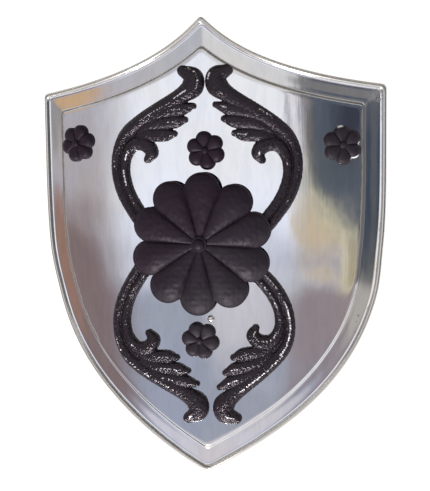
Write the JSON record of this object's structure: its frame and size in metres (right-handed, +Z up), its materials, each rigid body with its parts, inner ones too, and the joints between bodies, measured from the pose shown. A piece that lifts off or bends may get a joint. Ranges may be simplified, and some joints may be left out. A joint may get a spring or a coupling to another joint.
{
  "type": "heater shield",
  "caption": "Rolled sheet-metal heater shield with a beaded rim, pressed border, black cast scrolls, rosette and small flowers, and a bowed strap grip behind.",
  "frame": {"origin": "centre of the bounding box, on the surface that the shield lies on", "axes": "+X across the shield, +Y towards its top point, +Z up, out of the bulged front"},
  "size_m": [0.4754, 0.6074, 0.0642],
  "materials": {
    "polished_steel": "buffed mild steel sheet, mirror-like with soft waves, fine scratches and a little grime along the rim and the pressed step",
    "black_casting": "semi-gloss black paint over a bumpy casting",
    "satin_black": "satin black paint, slightly dusty"
  },
  "bodies": {
    "root": {"shield_plate": "polished_steel", "scroll_upper_left": "black_casting", "scroll_upper_right": "black_casting", "scroll_lower_left": "black_casting", "scroll_lower_right": "black_casting", "rosette": "satin_black", "rosette_rivet": "satin_black", "flower_left": "satin_black", "flower_left_rivet": "satin_black", "flower_right": "satin_black", "flower_right_rivet": "satin_black", "flower_top": "satin_black", "flower_top_rivet": "satin_black", "flower_bottom": "satin_black", "flower_bottom_rivet": "satin_black", "bare_rivet": "polished_steel", "back_grip": "polished_steel"}
  },
  "joints": []
}
